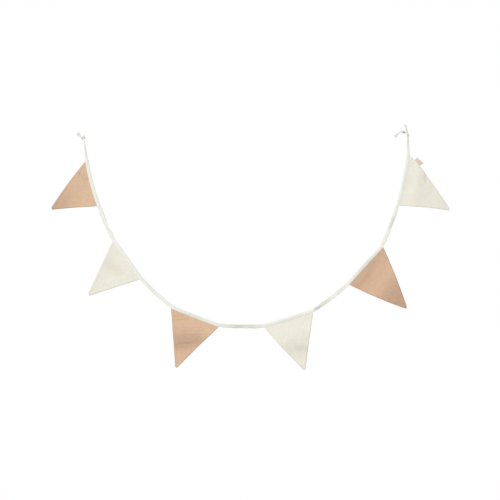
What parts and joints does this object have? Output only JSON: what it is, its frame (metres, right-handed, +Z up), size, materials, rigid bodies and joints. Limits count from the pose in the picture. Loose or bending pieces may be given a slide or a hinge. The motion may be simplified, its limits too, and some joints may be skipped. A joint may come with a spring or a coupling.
{
  "type": "fabric bunting",
  "caption": "Triangular muslin pennants in tan and cream, bound into a folded cloth tape that hangs in a deep curve between two knotted ties.",
  "frame": {"origin": "middle of the knot in the left tie, where the bunting is held up", "axes": "+X from the left tie to the right tie, +Y from the front to the wall side, +Z up"},
  "size_m": [1.393, 0.0308, 0.861],
  "materials": {
    "muslin_tan": "crinkled double cotton muslin, warm tan",
    "muslin_cream": "crinkled double cotton muslin, undyed cream",
    "binding": "folded cotton muslin tape, undyed cream, topstitched",
    "label_ribbon": "plain woven ribbon, dusty pink, blank"
  },
  "bodies": {
    "root": {"tape": "binding", "flag_1": "muslin_tan", "flag_2": "muslin_cream", "flag_3": "muslin_tan", "flag_4": "muslin_cream", "flag_5": "muslin_tan", "flag_6": "muslin_cream", "side_label": "label_ribbon"}
  },
  "joints": []
}
